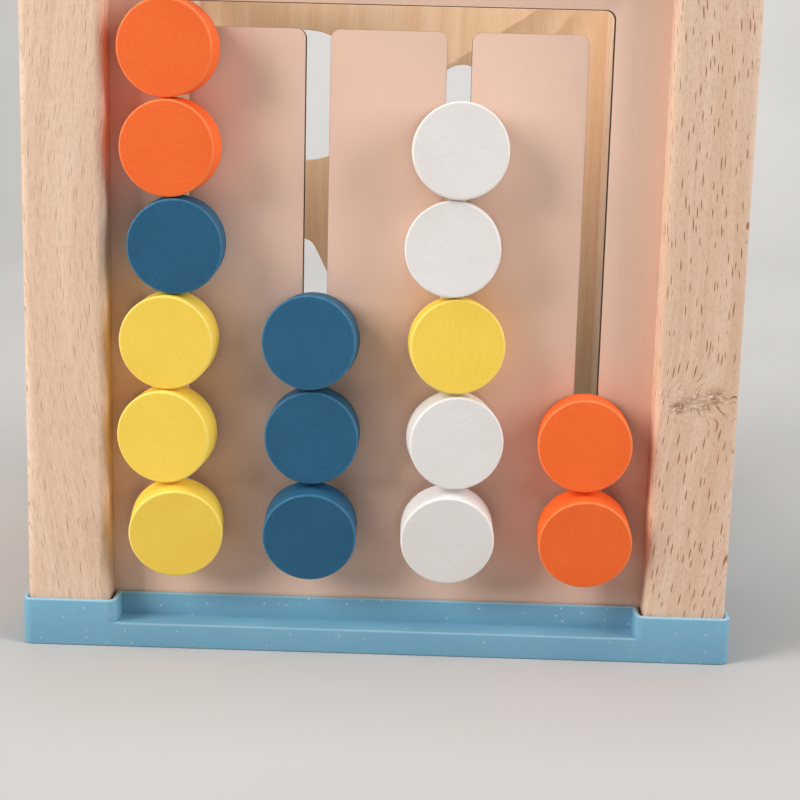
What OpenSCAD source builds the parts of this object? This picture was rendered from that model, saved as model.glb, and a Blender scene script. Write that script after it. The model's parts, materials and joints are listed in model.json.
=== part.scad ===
// Wooden activity cube: four beech posts between two moulded frames, with one play board on each side.
// Front: slide-and-sort discs. Rear: shape sorter. Left: meshing gears. Right: bead rods.
// Origin: centre of the underside. +Z is up and the front board faces -Y. Millimetres.

/* [Frame] */
// Width and depth over the moulded frames
cube_w = 230; // [220:5:250]
// Height from the table to the top frame
cube_h = 240; // [236:4:260]
// Side of a post's square section
post_w = 26.3; // [25:0.1:27]
// Rounding of a post's long edges
post_r = 3; // [1:0.5:4]
// Thickness of the four play boards
board_t = 5; // [4:0.5:5.5]

/* [Moulded frames] */
// Height of the corner sockets and of the upright lip
socket_h = 15.5; // [12:0.5:20]
// Height of the open ledge between two sockets
ledge_h = 8; // [6:0.5:10]
// Depth of the ledge, from the outside to the upright lip
ledge_d = 10.4; // [9:0.2:12]
// Wall of a corner socket
socket_wall = 1.7; // [1.2:0.1:2]
// Room between a post and the inner walls of its socket
socket_gap = 1; // [0.2:0.1:1.4]
// Rounding of the frames' corners
corner_r = 3.5; // [2:0.5:4]

/* [Slide-and-sort board] */
// Diameter of a disc
disc_d = 29.9; // [26:0.1:30]
// Thickness of a disc
disc_t = 12; // [10:0.5:13]
// Distance between two slots
slot_pitch = 43.9; // [42:0.1:45]
// Width of the slots and of the channel that joins them
slot_w = 7.7; // [7.7:0.1:9]
// Height of the channel's centre line
channel_z = 202.5; // [200:0.5:206]
// Lower end of the slots
slot_end_z = 38.2; // [36:0.2:38.2]
// Diameter of the peg that runs in a slot
peg_d = 5.6; // [5:0.2:5.6]

/* [Shape sorter] */
// Size across the round hole
sorter_hole = 55.6; // [50:0.2:58]
// Half the distance between the two columns of holes
sorter_x = 42; // [38:0.5:46]
// Centre height of the upper holes
sorter_top_z = 175; // [170:1:185]
// Centre height of the lower holes
sorter_low_z = 90; // [70:1:95]

/* [Gears] */
// Gear module: pitch diameter over number of teeth
gear_m = 6; // [5:0.25:6]
// Thickness of a gear
gear_t = 8; // [6:0.5:8]

/* [Bead rods] */
// Diameter of a rod
rod_d = 5; // [4:0.5:6]
// Diameter of a bead
bead_d = 24; // [20:1:26]
// Length of a bead along its rod
bead_l = 18; // [14:1:20]

/* [Hidden] */
$fn = 48;
half = cube_w / 2;
socket_w = post_w + socket_gap + 2 * socket_wall;
socket_c = half - socket_w / 2;                  // a socket's centre line
post_c = half - socket_wall - post_w / 2;        // a post's centre line
post_in = post_c - post_w / 2;                   // inner face of a post
lip_t = 1.4;                                     // upright lip in front of a board
board_out = half - ledge_d - lip_t;              // outer face of a board
board_in = board_out - board_t;
board_mid = board_out - board_t / 2;
fit = 0.05;                                      // clearance round a board or post, per side
pocket_r = 1.4;                                  // inner corners of a socket
groove_d = 5;                                    // how far a board runs into a post
board_half = post_in + groove_d;                 // half a board's width
floor_z = 3.7;                                   // where posts and boards stand in a frame
floor_t = 2.5;
rib_t = 1.6;
rib_pitch = 38;
hub_r = 14;                                      // boss in the middle of the ribs
lip_in_t = 1.6;                                  // low rib behind a board
lip_in_h = 9;
board_top = cube_h - floor_z;
tongue_r = 3;                                    // rounding at the tongues' and channel's corners
triangle_share = 1.1;                            // sizes of the other holes, as shares of the round one
square_share = 0.88;
petal_share = 0.2;                               // radii in the flower, as shares of its height
heart_share = 0.27;

// Each slot from left to right: a letter, then its discs from the bottom up.
// A disc: colour, droop and turn in degrees, and how far its peg stands off the slot's centre line
SLOTS = [
    ["a", [["yellow", 9, -5, 0], ["yellow", 2.3, 7, -0.7], ["yellow", 2.3, 4, -0.7],
           ["blue", 2.3, -1, 0.7], ["orange", 2.3, 5, 0], ["orange", 2.3, 5, -0.6]]],
    ["b", [["blue", 9, -1, 0], ["blue", 0, 0.5, 0.5], ["blue", -2.3, 4, 0.3]]],
    ["c", [["white", 8.5, -1.5, 0.2], ["white", 0, -7, 0.7], ["yellow", -2.3, -5, 0.7],
           ["white", -3, 2, 0.1], ["white", -3.3, -2, 0.7]]],
    ["d", [["orange", 8.5, 0, 0.7], ["orange", 0, 2.5, 0]]]
];
rest_z = 42.1;                                   // peg of a bottom disc, which leans on the slot's end
second_z = 71.5;                                 // peg of the disc above it
disc_step = disc_d + 0.3;
disc_r = disc_d / 2;
rim_r = 0.7;                                     // worn rim of a disc
peg_in = 8;                                      // how far the peg is glued into its disc
head_d = 16;                                     // round head that keeps a peg behind the board
head_t = 3;
play = 0.25;                                     // nearest approach of a disc or head to the board

GEARS = [["gear_large", 15, "orange"], ["gear_medium", 12, "yellow"], ["gear_small", 9, "blue"]];
gear_y = -22;                                    // centre of the large gear
gear_z = 84;
medium_dir = 40;                                 // direction from the large gear, from +Y towards +Z
small_dir = 104;
mesh_play = 0.15;                                // added to the distance between two gears
backlash = 0.5;
pressure = 25;
addendum = 0.8;                                  // of the module
dedendum = 1.05;
axle_d = 8;
axle_gap = 0.5;                                  // free play on each side of a gear
cap_d = 16;
cap_t = ledge_d + lip_t - gear_t - 2 * axle_gap;
spigot_d = 6;

ROD_Z = [90, 120, 150];                          // heights of the three bead rods
ROD_END = [-1, 1, -1];                           // the end at which each rod's beads rest
beads_per_rod = 3;
band_low = 62;                                   // the open band between the two right-hand boards
band_high = 178;
rod_in = 8;                                      // how far a rod runs into a post
bead_gap = 0.3;

screw_r = 1.8;
screw_head_r = 3.8;
screw_sink = 0.3;
screw_l = 20;
cross_l = 4.4;                                   // cross-shaped recess for the driver
cross_w = 0.9;
cross_deep = 1.2;

function paint(name) = name == "orange" ? [0.93, 0.37, 0.16] : name == "yellow" ? [0.93, 0.78, 0.32] :
    name == "blue" ? [0.17, 0.34, 0.44] : [0.88, 0.86, 0.84];

module rounded_rect(w, d, r) {
    square([w - 2 * r, d], center = true);
    square([w, d - 2 * r], center = true);
    for (sx = [-1, 1], sy = [-1, 1]) translate([sx * (w / 2 - r), sy * (d / 2 - r)]) circle(r = r);
}

module four_corners(c) {
    for (sx = [-1, 1], sy = [-1, 1]) translate([sx * c, sy * c]) children();
}

// ---- moulded frames ----

module screw_hole() {
    translate([0, 0, -1]) cylinder(r = screw_r, h = floor_z + 2);
    translate([0, 0, screw_sink]) cylinder(r1 = screw_head_r, r2 = screw_r, h = screw_head_r - screw_r);
    translate([0, 0, -1]) cylinder(r = screw_head_r, h = 1 + screw_sink);
}

// The part of a frame that the base and the top share, with its outside face down
module frame_rim() {
    pocket = post_w + socket_gap;
    difference() {
        union() {
            linear_extrude(ledge_h) difference() {
                rounded_rect(cube_w, cube_w, corner_r);
                square(2 * board_out, center = true);
            }
            linear_extrude(socket_h) difference() {
                square(2 * (board_out + lip_t), center = true);
                square(2 * board_out, center = true);
            }
            linear_extrude(lip_in_h) difference() {
                square(2 * board_in, center = true);
                square(2 * (board_in - lip_in_t), center = true);
            }
            linear_extrude(floor_z) difference() {
                square(2 * (board_out + lip_t), center = true);
                square(2 * (board_in - lip_in_t), center = true);
            }
            linear_extrude(socket_h) four_corners(socket_c) rounded_rect(socket_w, socket_w, corner_r);
        }
        translate([0, 0, floor_z]) {
            linear_extrude(cube_h) four_corners(socket_c)
                rounded_rect(pocket + 2 * fit, pocket + 2 * fit, pocket_r);
            for (a = [0 : 90 : 270]) rotate([0, 0, a])
                translate([-board_half - fit, board_in - fit, 0])
                    cube([2 * (board_half + fit), board_t + 2 * fit, cube_h]);
        }
        four_corners(post_c) screw_hole();
    }
}

module base_frame() {
    color("steelblue") {
        frame_rim();
        inner = 2 * (board_in - lip_in_t);
        translate([0, 0, floor_z - floor_t]) linear_extrude(floor_t) difference() {
            square(inner, center = true);
            four_corners(socket_c) square(socket_w, center = true);
        }
        rib_z = floor_z - floor_t;
        rib_n = floor(inner / 2 / rib_pitch);
        for (i = [-rib_n : rib_n], a = [0, 90]) rotate([0, 0, a]) {
            // the outer ribs stop at the sockets
            short = abs(i) == rib_n ? post_w - 2 : 0;
            translate([i * rib_pitch - rib_t / 2, short - inner / 2, 0])
                cube([rib_t, inner - 2 * short, rib_z]);
        }
        cylinder(r = hub_r, h = rib_z);
    }
}

module top_frame() {
    color("steelblue") translate([0, 0, cube_h]) mirror([0, 0, 1]) frame_rim();
}

// ---- posts and boards ----

module post(sx, sy) {
    color("burlywood") difference() {
        translate([sx * post_c, sy * post_c, floor_z]) linear_extrude(board_top - floor_z)
            rounded_rect(post_w, post_w, post_r);
        groove = groove_d + fit;
        // groove for the front or rear board
        translate([sx > 0 ? post_in - 1 : -post_in - groove, sy * board_mid - board_t / 2 - fit, 0])
            cube([groove + 1, board_t + 2 * fit, cube_h]);
        // groove for a side board, only where there is a board
        for (span = sx > 0 ? [[0, band_low + fit], [band_high - fit, cube_h]] : [[0, cube_h]])
            translate([sx * board_mid - board_t / 2 - fit, sy > 0 ? post_in - 1 : -post_in - groove, span[0]])
                cube([board_t + 2 * fit, groove + 1, span[1] - span[0]]);
        if (sx > 0) for (z = ROD_Z)
            translate([board_mid, sy * (post_in + rod_in), z]) rotate([sy * 90, 0, 0])
                cylinder(d = rod_d, h = rod_in + 2);
        for (z = [0, board_top - screw_l])
            translate([sx * post_c, sy * post_c, z]) cylinder(r = screw_r, h = screw_l + floor_z);
    }
}

module board_shape(low = floor_z, high = board_top) {
    translate([-board_half, low]) square([2 * board_half, high - low]);
}

module slot_outline() {
    end_r = slot_w / 2;
    reach = 1.5 * slot_pitch + end_r;
    for (i = [-1.5 : 1.5]) translate([i * slot_pitch, 0]) {
        translate([-end_r, slot_end_z + end_r]) square([slot_w, channel_z - slot_end_z - end_r]);
        translate([0, slot_end_z + end_r]) circle(r = end_r);
        // rounded corners of the tongues on both sides
        for (s = [-1, 1]) if (abs(i + s) < 2) translate([s * end_r, channel_z - end_r - tongue_r])
            mirror([s < 0 ? 1 : 0, 0]) difference() {
                translate([-0.1, 0]) square([tongue_r + 0.1, tongue_r + 0.1]);
                translate([tongue_r, 0]) circle(r = tongue_r);
            }
    }
    translate([-reach, channel_z - end_r]) square([2 * reach, end_r]);
    translate([0, channel_z]) rounded_rect(2 * reach, slot_w, tongue_r);
}

module front_board() {
    color([0.85, 0.72, 0.64]) translate([0, -board_in, 0]) rotate([90, 0, 0]) linear_extrude(board_t)
        difference() {
            board_shape();
            slot_outline();
        }
}

// Isosceles triangle as wide as it is high, centred on its height, with rounded corners
module rounded_triangle(w, r) {
    slope = atan(2);
    flat = r * (1 / sin(slope) + 1 / tan(slope));
    // each corner's arc: its centre and the direction of its first point
    arcs = [[[w / 2 - flat, -w / 2 + r], -90], [[0, w / 2 - r / cos(slope)], 90 - slope],
            [[-w / 2 + flat, -w / 2 + r], 90 + slope]];
    turn = [180 - slope, 2 * slope, 180 - slope];
    polygon([for (i = [0 : 2], k = [0 : 12]) arcs[i][0] + r * [cos(arcs[i][1] + turn[i] * k / 12),
                                                              sin(arcs[i][1] + turn[i] * k / 12)]]);
}

// Five petals, centred on their height
module flower(w) {
    petal = petal_share * w;
    reach = w / 2 - petal;
    low = petal + reach * cos(36);
    translate([0, (low - w / 2) / 2]) {
        for (i = [0 : 4]) rotate(90 + 72 * i) translate([reach, 0]) circle(r = petal);
        circle(r = heart_share * w);
    }
}

module rear_board() {
    color("tan") translate([0, board_out, 0]) rotate([90, 0, 0]) linear_extrude(board_t)
        difference() {
            board_shape();
            translate([-sorter_x, sorter_top_z]) circle(d = sorter_hole);
            translate([-sorter_x, sorter_low_z]) rounded_triangle(triangle_share * sorter_hole, 6);
            translate([sorter_x, sorter_top_z]) flower(sorter_hole);
            translate([sorter_x, sorter_low_z])
                rounded_rect(square_share * sorter_hole, square_share * sorter_hole, 5);
        }
}

module left_board() {
    color([0.93, 0.88, 0.76]) difference() {
        translate([-board_out, 0, 0]) rotate([90, 0, 90]) linear_extrude(board_t) board_shape();
        for (g = [0 : 2]) at_gear(g) translate([0, 0, -board_t - 1]) cylinder(d = spigot_d, h = board_t + 2);
    }
}

module right_board(low, high) {
    color([0.66, 0.78, 0.80]) translate([board_in, 0, 0]) rotate([90, 0, 90]) linear_extrude(board_t)
        board_shape(low, high);
}

// ---- slide-and-sort discs ----

function peg_z(i) = i == 0 ? rest_z : second_z + (i - 1) * disc_step;

// Turned wood: a solid of revolution from z = 0 to z = h with both rims rounded
module turned(d, h, r) {
    rotate_extrude() {
        square([d / 2 - r, h]);
        translate([0, r]) square([d / 2, h - 2 * r]);
        for (z = [r, h - r]) translate([d / 2 - r, z]) circle(r = r);
    }
}

// Puts its children on a disc's own axis: z = 0 in the middle of the board, +z out of the front
module at_disc(s, i) {
    p = SLOTS[s][1][i];
    translate([(s - 1.5) * slot_pitch + p[3], -board_mid, peg_z(i)])
        rotate([p[1], 0, -p[2]]) rotate([90, 0, 0]) children();
}

// Room between the board and a round face of radius r that leans with the disc
function stand_off(s, i, r) = let (p = SLOTS[s][1][i]) board_t / 2 + play + r * sin(norm([p[1], p[2]]));

module disc(s, i) {
    back = stand_off(s, i, disc_r);
    color(paint(SLOTS[s][1][i][0])) at_disc(s, i) difference() {
        translate([0, 0, back]) turned(disc_d, disc_t, rim_r);
        cylinder(d = peg_d, h = back + peg_in);
    }
}

module peg(s, i) {
    back = stand_off(s, i, disc_r);
    head = stand_off(s, i, head_d / 2);
    color("wheat") at_disc(s, i) {
        translate([0, 0, -head - 0.5]) cylinder(d = peg_d, h = head + 0.5 + back + peg_in);
        translate([0, 0, -head - head_t]) turned(head_d, head_t, 1);
    }
}

// ---- gears ----

function gear_teeth(g) = GEARS[g][1];
function pitch_r(g) = gear_m * gear_teeth(g) / 2;
function gear_dir(g) = [0, medium_dir, small_dir][g];
function gear_place(g) = g == 0 ? [gear_y, gear_z] :
    [gear_y, gear_z] + (pitch_r(0) + pitch_r(g) + mesh_play) * [cos(gear_dir(g)), sin(gear_dir(g))];

// The large gear has a tooth at 0 degrees, and the others turn to stand in mesh with it
function gear_phase(g) = g == 0 ? 0 :
    let (teeth_in = gear_dir(g) * gear_teeth(0) / 360, part = teeth_in - floor(teeth_in))
    gear_dir(g) + 180 - (0.5 - part) * 360 / gear_teeth(g);

// Angle that an involute of base radius rb has turned by at radius r
function involute(rb, r) = r <= rb ? 0 : let (a = acos(rb / r)) tan(a) * 180 / PI - a;

function gear_points(g) = let (
    n = gear_teeth(g), rp = pitch_r(g), rb = rp * cos(pressure),
    half_tooth = 90 / n - backlash / 4 / rp * 180 / PI + involute(rb, rp),
    low = rp - dedendum * gear_m, high = rp + addendum * gear_m, start = max(low, rb),
    radii = concat([low], [for (k = [0 : 5]) start + (high - start) * k / 5])
) [for (t = [0 : n - 1], side = [-1, 1], k = [0 : len(radii) - 1])
    let (r = radii[side < 0 ? k : len(radii) - 1 - k],
         a = t * 360 / n + side * (half_tooth - involute(rb, r)))
    r * [cos(a), sin(a)]];

// Puts its children on a gear's axis: z = 0 on the board's outer face, +z away from the board
module at_gear(g) {
    p = gear_place(g);
    translate([-board_out, p[0], p[1]]) rotate([90, 0, 90]) mirror([0, 0, 1]) children();
}

module gear(g) {
    hole_d = pitch_r(g) * 0.36;
    color(paint(GEARS[g][2])) at_gear(g) translate([0, 0, axle_gap]) linear_extrude(gear_t) difference() {
        rotate(gear_phase(g)) polygon(gear_points(g));
        circle(d = axle_d + 0.2);
        rotate(gear_phase(g)) for (a = [0 : 120 : 240])
            rotate(a + 60) translate([pitch_r(g) * 0.58, 0]) circle(d = hole_d);
    }
}

module gear_axles() {
    shaft = gear_t + 2 * axle_gap;
    color("wheat") for (g = [0 : 2]) at_gear(g) {
        translate([0, 0, -board_t]) cylinder(d = spigot_d, h = board_t + 1);
        cylinder(d = axle_d, h = shaft + 1);
        translate([0, 0, shaft]) turned(cap_d, cap_t, 1);
    }
}

// ---- bead rods ----

module bead_rods() {
    color("wheat") for (z = ROD_Z) translate([board_mid, post_in + rod_in, z]) rotate([90, 0, 0])
        cylinder(d = rod_d, h = 2 * (post_in + rod_in));
}

module bead(r, i) {
    first = post_in - bead_gap - bead_l / 2;
    y = ROD_END[r] * (first - i * (bead_l + bead_gap));
    color(paint(["orange", "white", "yellow"][r])) translate([board_mid, y, ROD_Z[r]]) rotate([90, 0, 0])
        difference() {
            intersection() {
                sphere(d = bead_d);
                cylinder(d = bead_d + 2, h = bead_l, center = true);
            }
            cylinder(d = rod_d + 0.2, h = bead_l + 2, center = true);
        }
}

// ---- screws ----

module screw() {
    difference() {
        union() {
            cylinder(r1 = screw_head_r, r2 = screw_r, h = screw_head_r - screw_r);
            cylinder(r = screw_r, h = screw_l - floor_z);
        }
        for (a = [0, 90]) rotate([0, 0, a]) translate([-cross_l / 2, -cross_w / 2, -0.1])
            cube([cross_l, cross_w, cross_deep + 0.1]);
    }
}

module frame_screws() {
    color("silver") {
        translate([0, 0, screw_sink]) four_corners(post_c) screw();
        translate([0, 0, cube_h - screw_sink]) mirror([0, 0, 1]) four_corners(post_c) screw();
    }
}

base_frame();
top_frame();
post(-1, -1);  // post_front_left
post(1, -1);  // post_front_right
post(-1, 1);  // post_rear_left
post(1, 1);  // post_rear_right
front_board();
rear_board();
left_board();
right_board(floor_z, band_low);  // right_lower_board
right_board(band_high, board_top);  // right_upper_board
gear_axles();
bead_rods();
frame_screws();
for (g = [0 : 2]) gear(g);
for (s = [0 : 3], i = [0 : len(SLOTS[s][1]) - 1]) {
    disc(s, i);
    peg(s, i);
}
for (r = [0 : 2], i = [0 : beads_per_rod - 1])
    bead(r, i);
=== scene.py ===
# Wooden activity cube: finishes, softened edges, stage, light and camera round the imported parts
import json
import math
import bpy
import bmesh
from mathutils import Matrix, Quaternion, Vector


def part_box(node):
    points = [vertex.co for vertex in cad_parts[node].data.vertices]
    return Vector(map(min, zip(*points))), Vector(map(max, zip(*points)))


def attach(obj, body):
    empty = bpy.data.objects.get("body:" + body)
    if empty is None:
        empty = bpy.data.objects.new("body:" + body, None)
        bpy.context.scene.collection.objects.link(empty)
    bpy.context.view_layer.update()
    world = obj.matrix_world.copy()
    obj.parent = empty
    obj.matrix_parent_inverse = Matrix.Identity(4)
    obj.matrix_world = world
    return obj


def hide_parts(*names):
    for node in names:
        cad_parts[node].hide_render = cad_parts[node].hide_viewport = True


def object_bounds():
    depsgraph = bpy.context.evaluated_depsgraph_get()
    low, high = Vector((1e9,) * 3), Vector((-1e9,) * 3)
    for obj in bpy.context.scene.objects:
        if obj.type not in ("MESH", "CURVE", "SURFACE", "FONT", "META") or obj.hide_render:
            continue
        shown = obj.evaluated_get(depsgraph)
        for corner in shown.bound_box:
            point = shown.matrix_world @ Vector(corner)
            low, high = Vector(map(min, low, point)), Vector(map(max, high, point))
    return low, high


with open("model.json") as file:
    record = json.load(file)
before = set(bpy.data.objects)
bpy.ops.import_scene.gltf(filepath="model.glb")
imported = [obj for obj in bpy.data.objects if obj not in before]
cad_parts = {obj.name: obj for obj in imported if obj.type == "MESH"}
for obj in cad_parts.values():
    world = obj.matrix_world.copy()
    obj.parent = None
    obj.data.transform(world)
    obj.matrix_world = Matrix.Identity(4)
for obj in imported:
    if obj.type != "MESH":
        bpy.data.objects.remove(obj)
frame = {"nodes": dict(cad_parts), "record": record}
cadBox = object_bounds()
record = frame["record"]
scene = bpy.context.scene
bodyOf = {node: body for body, nodes in record["behaviour"]["bodies"].items() for node in nodes}
slotOf = {part["node"]: part["material_slot"] for part in record["subparts"]}
print("frame loaded:", len(frame["nodes"]), "nodes")


def tone(red, green, blue):  # screen colour, 0 to 255, as the shader wants it
    def linear(v):
        v = v / 255
        return v / 12.92 if v <= 0.04045 else ((v + 0.055) / 1.055) ** 2.4
    return (linear(red), linear(green), linear(blue), 1)


class Wire:  # a socket that can stand in a sum
    def __init__(self, finish, socket):
        self.finish, self.socket = finish, socket

    def __add__(self, other):
        return self.finish.sum("ADD", self, other)

    def __sub__(self, other):
        return self.finish.sum("SUBTRACT", self, other)

    def __rsub__(self, other):
        return self.finish.sum("SUBTRACT", other, self)

    def __mul__(self, other):
        return self.finish.sum("MULTIPLY", self, other)

    def __truediv__(self, other):
        return self.finish.sum("DIVIDE", self, other)

    def __pow__(self, other):
        return self.finish.sum("POWER", self, other)

    def __abs__(self):
        return self.finish.sum("ABSOLUTE", self)

    __radd__, __rmul__ = __add__, __mul__


class Finish:  # one material and the few moves that build it
    def __init__(self, name, **fixed):
        self.material = bpy.data.materials.new(name)
        self.material.use_nodes = True
        self.tree = self.material.node_tree
        self.tree.nodes.clear()
        self.skin = self.tree.nodes.new("ShaderNodeBsdfPrincipled")
        out = self.tree.nodes.new("ShaderNodeOutputMaterial")
        self.tree.links.new(self.skin.outputs[0], out.inputs[0])
        for key, value in fixed.items():
            self.skin.inputs[key.replace("_", " ")].default_value = value

    def plug(self, socket, value):
        if isinstance(value, Wire):
            self.tree.links.new(value.socket, socket)
        else:
            socket.default_value = value

    def node(self, kind, settings, values, output=0):
        made = self.tree.nodes.new(kind)
        for key, value in settings.items():
            if key == "stops":
                ramp = made.color_ramp
                while len(ramp.elements) < len(value):
                    ramp.elements.new(0.5)
                for stop, (place, colour) in zip(ramp.elements, value):
                    stop.position, stop.color = place, colour
            else:
                setattr(made, key, value)
        for key, value in values.items():
            self.plug(made.inputs[key], value)
        return Wire(self, made.outputs[output])

    def sum(self, kind, *values):
        return self.node("ShaderNodeMath", {"operation": kind}, dict(enumerate(values)))

    def stretch(self, place, scale):
        return self.node("ShaderNodeVectorMath", {"operation": "MULTIPLY"}, {0: place, 1: scale})

    def millimetres(self):
        place = self.node("ShaderNodeTexCoord", {}, {}, "Object")
        return self.stretch(place, (1000, 1000, 1000))

    def parts(self, place):
        split = self.node("ShaderNodeSeparateXYZ", {}, {0: place}).socket.node
        return [Wire(self, split.outputs[i]) for i in range(3)]

    def join(self, x, y, z=0.0):
        return self.node("ShaderNodeCombineXYZ", {}, {0: x, 1: y, 2: z})

    def noise(self, place, scale=1.0, detail=2.0, rough=0.5, warp=0.0):
        values = {"Vector": place, "Scale": scale, "Detail": detail, "Roughness": rough, "Distortion": warp}
        return self.node("ShaderNodeTexNoise", {"noise_dimensions": "3D"}, values)

    def cells(self, place, output, flat=True):
        return self.node("ShaderNodeTexVoronoi", {"voronoi_dimensions": "2D" if flat else "3D"},
                         {"Vector": place, "Scale": 1.0, "Randomness": 1.0}, output)

    def fade(self, value, start, end):  # 0 at start, 1 at end
        return self.node("ShaderNodeMapRange", {"interpolation_type": "SMOOTHSTEP"},
                         {"Value": value, "From Min": start, "From Max": end})

    def mix(self, amount, first, second, way="MIX"):
        return self.node("ShaderNodeMix", {"data_type": "RGBA", "blend_type": way, "clamp_factor": True},
                         {0: amount, 6: first, 7: second}, 2)

    def done(self, colour, rough, height, depth):  # depth: the bump's height in metres
        self.plug(self.skin.inputs["Base Color"], colour)
        self.plug(self.skin.inputs["Roughness"], rough)
        bump = self.node("ShaderNodeBump", {}, {"Strength": 1.0, "Distance": depth, "Height": height})
        self.plug(self.skin.inputs["Normal"], bump)
        return self.material


def beechFinish(name, look):
    f = Finish(name, Specular_IOR_Level=0.32)
    place = f.millimetres()
    x, y, z = f.parts(place)
    wander = f.noise(f.stretch(place, (0.016, 0.016, 0.0085)), 1.0, 1.0) - 0.5
    across = x + look["mirror"] * y + wander * look["wander"] + z * look["lean"]
    across = across + f.sum("MINIMUM", z - look["swayBelow"], 0) * look["sway"]
    across = across + f.sum("MAXIMUM", z - look["swayAbove"], 0) * look["swayTop"]
    knot = 0.0
    if look["knot"]:
        kx, kz, wide, high = look["knot"]
        dx, dz = (x - kx) / wide, (z - kz) / high
        front = f.fade(y, look["face"] + 9, look["face"] + 2)
        knot = f.fade((dx * dx + dz * dz) ** 0.5, 1.0, 0.3) * front
        across = across + knot * dx * 4.0 + f.noise(place, 0.1, 2.0) * knot * 8
    streaks = f.noise(f.join(across * look["streak"], z * 0.006, look["seed"]), 1.0, 4.0, 0.62)
    bands = f.noise(f.join(across * 0.075, z * 0.0045, look["seed"] + 7), 1.0, 2.0, 0.5)
    fibres = f.noise(f.join(across * 3.1, z * 0.16, look["seed"] + 3), 1.0, 3.0, 0.65)
    pores = f.noise(f.join(across * 5.2, z * 1.1, look["seed"] + 5), 1.0, 2.0, 0.7)
    rays = f.join(across * look["rayAcross"] + wander * 2, z * look["rayAlong"])
    near = f.cells(rays, "Distance")
    luck = f.parts(f.cells(rays, "Color"))[0]
    size = look["rayWidth"] * (0.35 + luck * 0.9)
    ray = f.fade(near, size, size * 0.4) * f.fade(luck, 0.02, 0.4)
    small = f.join(across * look["rayAcross"] * 1.9 + 31, z * look["rayAlong"] * 2.1 + 11)
    smallRay = f.fade(f.cells(small, "Distance"), 0.17, 0.05) * 0.4
    mottle = f.noise(f.stretch(place, (1.5, 1.5, 0.75)), 1.0, 3.0, 0.7)
    colour = f.mix(f.fade(streaks, 0.3, 0.72), look["light"], look["deep"])
    colour = f.mix(f.fade(bands, 0.42, 0.7) * 0.38, colour, look["warm"])
    colour = f.mix(f.fade(fibres, 0.5, 0.76) * look["fibre"], colour, look["dark"])
    colour = f.mix(f.fade(pores, 0.55, 0.76) * 0.3, colour, look["dark"])
    colour = f.mix(f.fade(mottle, 0.5, 0.72) * 0.3, colour, look["dark"])
    colour = f.mix(f.fade(mottle, 0.46, 0.28) * 0.35, colour, look["light"])
    colour = f.mix((ray + smallRay) * look["rayDark"], colour, look["ray"])
    if look["knot"]:
        wisps = f.noise(f.stretch(place, (0.3, 0.3, 0.75)), 1.0, 5.0, 0.65, 1.4)
        hearts = 0.0
        for hx, hz, reach in ((-4.8, -2.2, 4.2), (7.2, 1.6, 5.6), (0.5, -0.6, 8.5)):
            away = (((x - kx - hx) ** 2 + ((z - kz - hz) * 1.5) ** 2) ** 0.5) / reach
            hearts = f.sum("MAXIMUM", hearts, f.fade(away, 1.0, 0.2) * (0.95 if reach < 6 else 0.5))
        colour = f.mix(hearts * front * f.fade(wisps, 0.36, 0.6), colour, look["knotDark"])
        colour = f.mix(knot * f.fade(wisps, 0.5, 0.34) * 0.6, colour, look["pale"])
    rough = 0.56 + fibres * 0.14 + ray * 0.08
    height = fibres * 0.45 + pores * 0.25 - ray * 0.5 - smallRay * 0.3
    return f.done(colour, rough, height, 0.00006)


def plyGrain(f, place, look):  # bare face of the ply: colour, roughness and height
    x, y, z = f.parts(place)
    wander = (f.noise(f.stretch(place, (0.02, 0.02, 0.006)), 1.0, 2.0) - 0.5) * 16
    across = x + y + wander
    streaks = f.noise(f.join(across * 0.16, z * 0.004, look["seed"]), 1.0, 4.0, 0.6)
    fibres = f.noise(f.join(across * 2.6, z * 0.07, look["seed"] + 2), 1.0, 3.0, 0.6)
    ticks = f.cells(f.join(across * 1.2, z * 0.11), "Distance")
    tick = f.fade(ticks, 0.1, 0.03)
    colour = f.mix(f.fade(streaks, 0.32, 0.7), look["light"], look["deep"])
    colour = f.mix(f.fade(fibres, 0.48, 0.75) * 0.35, colour, look["dark"])
    colour = f.mix(tick * 0.4, colour, look["dark"])
    return colour, 0.6 + fibres * 0.15, fibres * 0.6 - tick * 0.4


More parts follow.
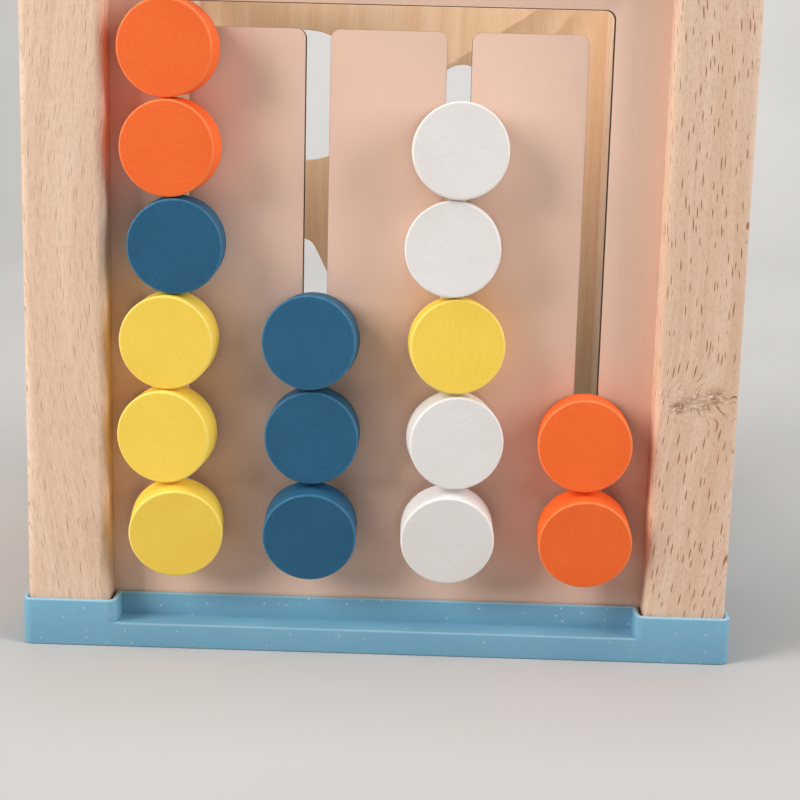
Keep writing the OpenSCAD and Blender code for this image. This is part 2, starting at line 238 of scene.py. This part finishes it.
def boardFinish(name, look):  # ply with its outer face painted and its cut edges left bare
    f = Finish(name, Specular_IOR_Level=0.3)
    place = f.millimetres()
    axes = f.parts(place)
    out = axes[look["axis"]] * look["side"]
    bare, bareRough, bareHeight = plyGrain(f, place, look)
    painted = f.fade(out, look["face"] - look["rim"], look["face"] - look["rim"] + 0.08)
    inner = f.fade(out, look["face"] - look["thick"] + 0.3, look["face"] - look["thick"] + 0.16)
    edge = 1 - f.sum("MAXIMUM", painted, inner)
    # layers of the ply, or the dark skin that a hot cutter leaves
    soot = f.noise(f.stretch(place, (0.9, 0.9, 0.25)), 1.0, 4.0, 0.7)
    layers = f.fade(abs(f.sum("FRACT", out * 0.6) - 0.5), 0.16, 0.3)
    cut = f.mix(layers * 0.45, look["edge"], look["edgeDark"])
    cut = f.mix(f.fade(soot, 0.42, 0.7) * 0.7, cut, look["edgeDark"])
    colour = f.mix(edge, bare, cut)
    # paint: clouding, faint grain and brush lines that telegraph through, and a few specks
    x, y, z = axes
    along = x + y
    cloud = f.noise(f.stretch(place, (0.012, 0.012, 0.009)), 1.0, 3.0, 0.55)
    grain = f.noise(f.join(along * 1.5, z * 0.045, look["seed"] + 9), 1.0, 4.0, 0.62)
    fine = f.noise(place, 2.4, 2.0, 0.6)
    specks = f.cells(f.join(along * 0.09, z * 0.09), "Distance")
    speck = f.fade(specks, 0.02, 0.008)
    paint = f.mix(f.fade(cloud, 0.35, 0.7) * 0.6, look["paint"], look["paintDeep"])
    paint = f.mix(f.fade(grain, 0.42, 0.7) * look["grain"], paint, look["paintDeep"])
    paint = f.mix(f.fade(fine, 0.5, 0.72) * 0.45, paint, look["paintDeep"])
    paint = f.mix(speck * 0.3, paint, look["speck"])
    colour = f.mix(painted, colour, paint)
    rough = bareRough * (1 - painted) + painted * (look["rough"] + grain * 0.1 + cloud * 0.08)
    height = bareHeight * (1 - painted) + painted * (grain * 0.55 + fine * 0.25)
    return f.done(colour, rough, height, 0.00004)


def plasticFinish(name, look):  # moulded satin plastic with dust, fine scuffs and a painted highlight along its rims
    f = Finish(name, Specular_IOR_Level=0.42)
    place = f.millimetres()
    x, y, z = f.parts(place)
    cloud = f.noise(place, 0.018, 3.0, 0.55)
    fog = f.noise(place, 0.22, 4.0, 0.6)
    stipple = f.noise(place, 3.6, 2.0, 0.6)
    spots = f.stretch(place, (0.3, 0.3, 0.3))
    dustLuck = f.parts(f.cells(spots, "Color", False))[1]
    grit = f.fade(f.cells(spots, "Distance", False), 0.13, 0.06) * f.fade(dustLuck, 0.25, 0.7)
    fineDust = f.cells(f.stretch(place, (0.75, 0.75, 0.75)), "Distance", False)
    grit = grit + f.fade(fineDust, 0.2, 0.1) * f.fade(fog, 0.48, 0.62) * 0.4
    scuff = f.noise(f.stretch(place, (0.05, 0.6, 0.9)), 1.0, 3.0, 0.7, 0.4)
    up = f.sum("MINIMUM", z, look["high"] - z)  # height within either frame
    outside = f.fade(f.sum("MAXIMUM", abs(x), abs(y)), look["half"] - 1.1, look["half"] - 0.5)
    inward = f.sum("MINIMUM", abs(x), abs(y))
    span = f.fade(inward, look["half"] - 29.8, look["half"] - 31)  # 1 between two sockets
    # painted highlight: a lighter band along the socket tops, the ledge edge and the bottom edge, standing in
    # for light caught on the rims
    rim = f.fade(abs(up - look["socket"]), 0.75, 0.2)
    rim = rim + outside * span * f.fade(abs(up - look["ledge"]), 0.6, 0.15)
    rim = rim + outside * f.fade(up, 0.5, 0.1) * 0.6
    rimHighlight = rim * (0.35 + f.fade(stipple, 0.4, 0.6) * 0.3)
    colour = f.mix(f.fade(cloud, 0.35, 0.7) * 0.45, look["body"], look["deep"])
    colour = f.mix(f.fade(fog, 0.5, 0.75) * 0.22, colour, look["pale"])
    colour = f.mix(grit * 0.75, colour, look["dust"])
    colour = f.mix(rimHighlight, colour, look["rim"])
    rough = look["rough"] + fog * 0.12 + f.fade(scuff, 0.6, 0.75) * 0.1 + grit * 0.2
    height = stipple * 0.35 + fog * 0.4 + grit * 1.5
    return f.done(colour, rough, height, 0.00002)


def paintFinish(name, look, centre, turn):  # satin paint on sanded beech, grain along the piece's own Y
    f = Finish(name, Specular_IOR_Level=look["gloss"])
    place = f.node("ShaderNodeTexCoord", {}, {}, "Object")
    own = f.node("ShaderNodeMapping", {"vector_type": "TEXTURE"},
                 {"Vector": place, "Location": centre, "Rotation": turn})
    mm = f.stretch(own, (1000, 1000, 1000))
    x, y, z = f.parts(mm)
    wander = (f.noise(f.stretch(mm, (0.05, 0.02, 0.05)), 1.0, 2.0) - 0.5) * 5
    across = x + z + wander
    grain = f.noise(f.join(across * 1.7, y * 0.1, look["seed"]), 1.0, 4.0, 0.66)
    pores = f.cells(f.join(across * 1.5, y * 0.3 + look["seed"]), "Distance")
    pore = f.fade(pores, 0.13, 0.05)
    fine = f.noise(mm, 3.1, 3.0, 0.7)
    cloud = f.noise(mm, 0.07, 2.0, 0.5)
    colour = f.mix(f.fade(cloud, 0.3, 0.75) * 0.5, look["paint"], look["deep"])
    colour = f.mix(f.fade(grain, 0.44, 0.72) * look["grain"], colour, look["deep"])
    colour = f.mix(pore * look["pore"], colour, look["dark"])
    colour = f.mix(f.fade(fine, 0.52, 0.74) * 0.3, colour, look["pale"])
    colour = f.mix(f.fade(fine, 0.46, 0.3) * 0.25, colour, look["dark"])
    discRimHighlight = 0.0
    if look["radius"]:  # painted highlight: the paint is lightened over the rounded rims
        radial = (x * x + y * y) ** 0.5
        over = radial - look["radius"] + 0.7 + abs(z) - look["half"] + 0.7
        highlightBreakup = f.noise(mm, 0.8, 3.0, 0.6)
        discRimHighlight = f.fade(over, 0.68, 0.92) * (0.55 + f.fade(highlightBreakup, 0.4, 0.65) * 0.45)
        colour = f.mix(discRimHighlight * 0.6, colour, look["pale"])
    rough = look["rough"] + grain * 0.12 + fine * 0.08
    height = grain * 0.8 + fine * 0.6 - pore * 0.5
    return f.done(colour, rough, height, 0.00004)


def turnedFinish(name, look):  # bare turned wood: pegs, caps and rods
    f = Finish(name, Specular_IOR_Level=0.34)
    place = f.millimetres()
    x, y, z = f.parts(place)
    rings = f.noise(f.stretch(place, look["ringScale"]), 1.0, 4.0, 0.6)
    fibres = f.noise(f.stretch(place, look["fibreScale"]), 1.0, 3.0, 0.65)
    colour = f.mix(f.fade(rings, 0.35, 0.68), look["light"], look["deep"])
    colour = f.mix(f.fade(fibres, 0.5, 0.74) * 0.45, colour, look["dark"])
    rough = 0.5 + fibres * 0.2
    return f.done(colour, rough, fibres * 0.7 + rings * 0.2, 0.00004)


def steelFinish(name, look):  # zinc-plated screws
    f = Finish(name, Metallic=1.0)
    place = f.millimetres()
    smear = f.noise(place, 0.9, 4.0, 0.65)
    lines = f.noise(f.stretch(place, (7, 7, 0.8)), 1.0, 2.0, 0.6)
    colour = f.mix(f.fade(smear, 0.4, 0.7), look["light"], look["dull"])
    return f.done(colour, 0.28 + smear * 0.2, lines * 0.5 + smear * 0.4, 0.00001)


print("finishes ready")


def pick(*objects):
    bpy.ops.object.select_all(action="DESELECT")
    for one in objects:
        one.select_set(True)
    bpy.context.view_layer.objects.active = objects[-1]


def softened(node, name, look):  # the part again, with its sharp edges rounded over
    piece = frame["nodes"][node].copy()
    piece.data = frame["nodes"][node].data.copy()
    piece.name = piece.data.name = name
    piece.parent = None
    piece.matrix_world = Matrix()
    scene.collection.objects.link(piece)
    pick(piece)
    bpy.ops.object.mode_set(mode="EDIT")
    bpy.ops.mesh.select_all(action="SELECT")
    bpy.ops.mesh.remove_doubles(threshold=0.000002)
    bpy.ops.mesh.dissolve_limited(angle_limit=math.radians(0.4))
    bpy.ops.mesh.customdata_custom_splitnormals_clear()
    bpy.ops.object.mode_set(mode="OBJECT")
    if "rims" in look:  # only these edges, so that the tiny faces round the screw seats stay as they are
        mesh = bmesh.new()
        mesh.from_mesh(piece.data)
        weight = mesh.edges.layers.float.new("bevel_weight_edge")
        for edge in mesh.edges:
            heights = [min(v.co.z, cadBox[1].z - v.co.z) * 1000 for v in edge.verts]
            outside = all(max(abs(v.co.x), abs(v.co.y)) > cadBox[1].x - 0.0012 for v in edge.verts)
            sharp = edge.is_manifold and edge.calc_face_angle() > math.radians(look["from"])
            for rim in look["rims"]:
                level = all(abs(height - rim) < 0.02 for height in heights)
                if sharp and level and (outside or rim > look["anywhere"]):
                    edge[weight] = 1.0
        mesh.to_mesh(piece.data)
        mesh.free()
    bevel = piece.modifiers.new("edges", "BEVEL")
    bevel.width = look["round"]
    bevel.segments = look["steps"]
    bevel.limit_method = "WEIGHT" if "rims" in look else "ANGLE"
    bevel.angle_limit = math.radians(look["from"])
    bevel.use_clamp_overlap = look["clamp"]
    bevel.miter_outer = "MITER_ARC"
    bpy.ops.object.modifier_apply(modifier="edges")
    low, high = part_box(node)
    for vertex in piece.data.vertices:  # nothing stands proud of the part's own box
        vertex.co = [min(max(v, low[i]), high[i]) for i, v in enumerate(vertex.co)]
    bpy.ops.mesh.customdata_custom_splitnormals_clear()
    bpy.ops.object.shade_smooth_by_angle(angle=math.radians(look["smooth"]))
    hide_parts(node)
    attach(piece, bodyOf[node])
    return piece


def wear(piece, material):  # one finish all over a piece
    if not piece.data.materials:
        piece.data.materials.append(material)
    for slot in piece.material_slots:
        slot.link = "OBJECT"
        slot.material = material


boardLow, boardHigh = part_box("front_board")
rearLow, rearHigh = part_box("rear_board")
leftLow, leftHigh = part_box("left_board")
rightLow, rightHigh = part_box("right_lower_board")
boardThick = (boardHigh.y - boardLow.y) * 1000

bareWood = {"light": tone(241, 208, 173), "deep": tone(231, 192, 152), "dark": tone(202, 156, 112),
            "speck": tone(150, 120, 100)}
burnt = {"edge": tone(70, 42, 30), "edgeDark": tone(26, 15, 11), "rim": 0.15}
sawn = {"edge": tone(205, 170, 130), "edgeDark": tone(150, 108, 72), "rim": 0.3}
paleBlue = {"paint": tone(178, 206, 210), "paintDeep": tone(160, 192, 198), "grain": 0.5, "rough": 0.5}

boards = {
    "front_board": dict(bareWood, **burnt, axis=1, side=-1, face=-boardLow.y * 1000, seed=1.0,
                        grain=0.2, rough=0.5, paint=tone(238, 203, 183), paintDeep=tone(230, 190, 167)),
    "rear_board": dict(bareWood, **sawn, axis=1, side=1, face=rearHigh.y * 1000, seed=14.0,
                       grain=0.8, rough=0.55, paint=tone(228, 198, 164), paintDeep=tone(212, 176, 138)),
    "left_board": dict(bareWood, **sawn, axis=0, side=-1, face=-leftLow.x * 1000, seed=23.0,
                       grain=0.5, rough=0.5, paint=tone(240, 228, 202), paintDeep=tone(228, 212, 182)),
    "right_lower_board": dict(bareWood, **sawn, **paleBlue, axis=0, side=1, face=rightHigh.x * 1000,
                              seed=31.0),
    "right_upper_board": dict(bareWood, **sawn, **paleBlue, axis=0, side=1, face=rightHigh.x * 1000,
                              seed=37.0),
}
boardEdge = {"round": 0.00025, "steps": 2, "from": 50, "clamp": False, "smooth": 30}
for node, look in boards.items():
    words = node.split("_")
    name = words[0] + "".join(word.capitalize() for word in words[1:]) + "Face"
    wear(softened(node, name, boardEdge), boardFinish(name + "Paint", dict(look, thick=boardThick)))
print("boards done")

mouldedFrames = {"round": 0.0006, "steps": 3, "from": 40, "clamp": False, "smooth": 32,
                 "rims": (0.0, 15.5), "anywhere": 12}
# rim: colour of the painted highlight along the frames' rims
plastic = {"body": tone(118, 171, 197), "deep": tone(104, 158, 186), "pale": tone(136, 184, 206),
           "dust": tone(214, 222, 224), "rim": tone(178, 212, 226), "rough": 0.36,
           "socket": 15.5, "ledge": 8.0, "half": cadBox[1].x * 1000, "high": cadBox[1].z * 1000}
plasticBlue = plasticFinish("mouldedBlue", plastic)
wear(softened("base_frame", "baseMoulding", mouldedFrames), plasticBlue)
wear(softened("top_frame", "topMoulding", mouldedFrames), plasticBlue)
print("moulded frames done")

postLooks = {
    "post_front_left": {
        "seed": 2.0, "mirror": 1, "lean": 0.045, "sway": 0.03, "swayTop": -0.1, "wander": 26, "knot": None,
        "streak": 0.42, "fibre": 0.75, "rayAcross": 1.0, "rayAlong": 0.05, "rayWidth": 0.13, "rayDark": 0.8,
        "light": tone(238, 210, 186), "deep": tone(226, 193, 166), "warm": tone(222, 184, 155),
        "dark": tone(192, 146, 112), "ray": tone(178, 128, 94)},
    "post_front_right": {
        "seed": 9.0, "mirror": -1, "lean": -0.03, "sway": -0.12, "swayTop": 0.02, "wander": 14,
        "knot": (98.8, 86.5, 15.0, 8.5), "face": -113.3,
        "streak": 0.33, "fibre": 0.6, "rayAcross": 0.72, "rayAlong": 0.078, "rayWidth": 0.18, "rayDark": 1.0,
        "light": tone(231, 201, 177), "deep": tone(217, 183, 156), "warm": tone(211, 172, 142),
        "dark": tone(190, 149, 119), "ray": tone(160, 104, 68), "knotDark": tone(142, 98, 74),
        "pale": tone(236, 214, 194)},
    "post_rear_left": {
        "seed": 17.0, "mirror": 1, "lean": 0.015, "sway": 0.02, "swayTop": 0.0, "wander": 24, "knot": None,
        "streak": 0.33, "fibre": 0.45, "rayAcross": 0.8, "rayAlong": 0.09, "rayWidth": 0.15, "rayDark": 0.75,
        "light": tone(234, 203, 178), "deep": tone(220, 186, 157), "warm": tone(213, 174, 143),
        "dark": tone(192, 150, 119), "ray": tone(168, 121, 91)},
    "post_rear_right": {
        "seed": 26.0, "mirror": -1, "lean": -0.01, "sway": -0.02, "swayTop": 0.0, "wander": 22, "knot": None,
        "streak": 0.36, "fibre": 0.45, "rayAcross": 0.85, "rayAlong": 0.08, "rayWidth": 0.15, "rayDark": 0.75,
        "light": tone(234, 203, 178), "deep": tone(220, 186, 157), "warm": tone(213, 174, 143),
        "dark": tone(194, 151, 120), "ray": tone(170, 124, 94)},
}
for node, look in postLooks.items():
    name = "".join(word.capitalize() for word in node.split("_")) + "Beech"
    look = dict(look, swayBelow=100, swayAbove=130)  # heights past which the grain bends aside
    wear(frame["nodes"][node], beechFinish(name, look))
print("posts done")

# pale: a lighter tone for flecks, and the colour of the painted highlight over the disc rims
discPaints = {
    "orange_paint": {"paint": tone(248, 108, 40), "deep": tone(242, 98, 32), "dark": tone(222, 78, 24),
                     "pale": tone(255, 150, 92), "rough": 0.5, "gloss": 0.3, "grain": 0.6, "pore": 0.4},
    "yellow_paint": {"paint": tone(249, 213, 84), "deep": tone(243, 204, 72), "dark": tone(224, 180, 54),
                     "pale": tone(255, 234, 140), "rough": 0.48, "gloss": 0.3, "grain": 0.6, "pore": 0.4},
    "blue_paint": {"paint": tone(36, 94, 128), "deep": tone(30, 84, 117), "dark": tone(18, 62, 94),
                   "pale": tone(78, 132, 162), "rough": 0.5, "gloss": 0.26, "grain": 0.6, "pore": 0.4},
    "white_paint": {"paint": tone(232, 229, 226), "deep": tone(225, 220, 216), "dark": tone(208, 201, 194),
                    "pale": tone(246, 245, 243), "rough": 0.48, "gloss": 0.3, "grain": 0.7, "pore": 0.45},
}


def facing(node):  # which way a disc's front looks, read off its flat face
    front = Vector()
    for face in frame["nodes"][node].data.polygons:
        if face.normal.y < -0.94:
            front += face.normal * face.area
    return front.normalized()


discNames = sorted(node for node in frame["nodes"] if node.startswith("disc_"))
for count, node in enumerate(discNames):
    low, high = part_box(node)
    look = dict(discPaints[slotOf[node]], seed=3.0 + 5 * count, radius=14.95, half=6.0)
    turn = facing(node).to_track_quat("Z", "Y") @ Quaternion((0, 0, 1), 1.1 * count + 0.4)
    paint = paintFinish(node.replace("disc_", "discPaint"), look, (low + high) / 2, turn.to_euler())
    wear(frame["nodes"][node], paint)
print("discs done")

gearEdge = {"round": 0.0009, "steps": 3, "from": 40, "clamp": True, "smooth": 32}
for count, node in enumerate(["gear_large", "gear_medium", "gear_small"]):
    low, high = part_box(node)
    look = dict(discPaints[slotOf[node]], seed=90.0 + 5 * count, radius=0)
    name = "gear" + node[5:].capitalize()
    paint = paintFinish(name + "Paint", look, (low + high) / 2, (0.7 * count, 0, 0))
    wear(softened(node, name + "Wheel", gearEdge), paint)

beadEdge = {"round": 0.0008, "steps": 3, "from": 30, "clamp": True, "smooth": 40}
for count, node in enumerate(sorted(n for n in frame["nodes"] if n.startswith("bead_") and n != "bead_rods")):
    low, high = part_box(node)
    look = dict(discPaints[slotOf[node]], seed=140.0 + 5 * count, radius=0)
    paint = paintFinish(node.replace("bead_", "beadPaint"), look, (low + high) / 2, (0.8 * count, 0, 0))
    wear(softened(node, node.replace("bead_", "bead"), beadEdge), paint)
print("gears and beads done")

turnedWood = {"light": tone(232, 202, 166), "deep": tone(212, 176, 134), "dark": tone(180, 138, 98)}
rodGrain = dict(turnedWood, ringScale=(0.3, 0.012, 0.3), fibreScale=(3.2, 0.14, 3.2))
capGrain = dict(turnedWood, ringScale=(0.05, 0.2, 0.02), fibreScale=(0.5, 3.0, 0.12))
pegGrain = dict(turnedWood, ringScale=(0.3, 0.03, 0.05), fibreScale=(3.0, 0.4, 0.3))
dowel = turnedFinish("rodDowel", rodGrain)
capWood = turnedFinish("axleCapWood", capGrain)
pegWood = turnedFinish("pegWood", pegGrain)
wear(frame["nodes"]["bead_rods"], dowel)
wear(frame["nodes"]["gear_axles"], capWood)
for node in frame["nodes"]:
    if node.startswith("peg_"):
        wear(frame["nodes"][node], pegWood)
zinc = {"light": tone(206, 206, 204), "dull": tone(168, 170, 172)}
wear(frame["nodes"]["frame_screws"], steelFinish("screwZinc", zinc))
print("turned wood and screws done")


studio = {"floor": tone(191, 189, 187), "floorWarm": tone(185, 183, 181), "wide": 9.0, "front": -3.5,
          "back": 1.9, "rise": 3.4, "bend": 0.9}


def sweepFloor(look):  # a paper sweep: flat floor that curves up behind the cube
    depth = look["back"] - look["front"]
    bpy.ops.object.select_all(action="DESELECT")
    bpy.ops.mesh.primitive_plane_add(size=1, location=(0, 0, 0))
    floor = bpy.context.object
    floor.name = floor.data.name = "paperSweep"
    floor.scale = (look["wide"], depth, 1)
    floor.location = (0, (look["front"] + look["back"]) / 2, 0)
    bpy.ops.object.transform_apply(location=True, rotation=True, scale=True)
    bpy.ops.object.mode_set(mode="EDIT")
    bpy.ops.mesh.select_all(action="DESELECT")
    mesh = bmesh.from_edit_mesh(floor.data)
    for edge in mesh.edges:
        if all(abs(v.co.y - look["back"]) < 0.001 for v in edge.verts):
            edge.select_set(True)
    bmesh.update_edit_mesh(floor.data)
    bpy.ops.mesh.extrude_region_move(TRANSFORM_OT_translate={"value": (0, 0, look["rise"])})
    bpy.ops.mesh.select_all(action="DESELECT")
    mesh = bmesh.from_edit_mesh(floor.data)
    for edge in mesh.edges:
        if all(abs(v.co.y - look["back"]) < 0.001 and abs(v.co.z) < 0.001 for v in edge.verts):
            edge.select_set(True)
    bmesh.update_edit_mesh(floor.data)
    bpy.ops.mesh.bevel(offset=look["bend"], segments=24, profile=0.5)
    bpy.ops.object.mode_set(mode="OBJECT")
    bpy.ops.object.shade_smooth()
    f = Finish("sweepPaper", Specular_IOR_Level=0.1)
    place = f.millimetres()
    cloud = f.noise(place, 0.002, 2.0, 0.5)
    colour = f.mix(f.fade(cloud, 0.3, 0.7), look["floor"], look["floorWarm"])
    f.done(colour, 0.8, f.noise(place, 0.6, 2.0), 0.00002)
    floor.data.materials.append(f.material)


sweepFloor(studio)

lamps = {
    "leftSoftbox": {"at": (-1.4, -0.82, 0.9), "aim": (0, -0.1, 0.11), "size": (0.8, 1.1), "watts": 32,
                    "colour": (1.0, 0.985, 0.965)},
    "rightSoftbox": {"at": (1.4, -0.6, 0.75), "aim": (0, -0.1, 0.11), "size": (0.8, 1.1), "watts": 20.5,
                     "colour": (0.985, 0.99, 1.0)},
    "overhead": {"at": (0.0, -0.06, 0.95), "aim": (0, -0.03, 0.1), "size": (0.4, 0.4), "watts": 5,
                 "colour": (1.0, 1.0, 1.0)},
    "backdropLight": {"at": (0.15, 0.7, 1.4), "aim": (0.35, 2.4, 0.5), "size": (0.9, 0.8), "watts": 22,
                      "colour": (1.0, 1.0, 1.0)},
}
for name, look in lamps.items():
    bpy.ops.object.light_add(type="AREA", location=look["at"])
    lamp = bpy.context.object
    lamp.name = lamp.data.name = name
    lamp.data.shape = "RECTANGLE"
    lamp.data.size, lamp.data.size_y = look["size"]
    lamp.data.energy = look["watts"]
    lamp.data.color = look["colour"]
    lamp.rotation_euler = (Vector(look["aim"]) - Vector(look["at"])).to_track_quat("-Z", "Y").to_euler()

world = bpy.data.worlds.new("studioAir")
scene.world = world
world.use_nodes = True
air = world.node_tree.nodes["Background"]
air.inputs["Color"].default_value = (1.0, 0.995, 0.985, 1)
air.inputs["Strength"].default_value = 0.05

shot = {"at": (0.01552, -0.62532, 0.18657), "yaw": 0.018, "pitch": -0.197, "roll": 0.0251, "lens": 74.25}


def placeCamera(look):
    right = Vector((math.cos(look["yaw"]), math.sin(look["yaw"]), 0))
    level = math.cos(look["pitch"])
    ahead = Vector((-math.sin(look["yaw"]) * level, math.cos(look["yaw"]) * level, math.sin(look["pitch"])))
    up = right.cross(ahead)
    tiltRight = right * math.cos(look["roll"]) + up * math.sin(look["roll"])
    tiltUp = up * math.cos(look["roll"]) - right * math.sin(look["roll"])
    bpy.ops.object.camera_add()
    camera = bpy.context.object
    camera.name = camera.data.name = "mainCamera"
    camera.matrix_world = Matrix((tiltRight, tiltUp, -ahead)).transposed().to_4x4()
    camera.location = look["at"]
    camera.data.lens = look["lens"]
    camera.data.sensor_width = 36
    camera.data.clip_start, camera.data.clip_end = 0.01, 50
    scene.camera = camera


placeCamera(shot)
scene.view_settings.view_transform = "Standard"
scene.view_settings.look = "None"
print("stage, light and camera done")

bpy.context.view_layer.update()
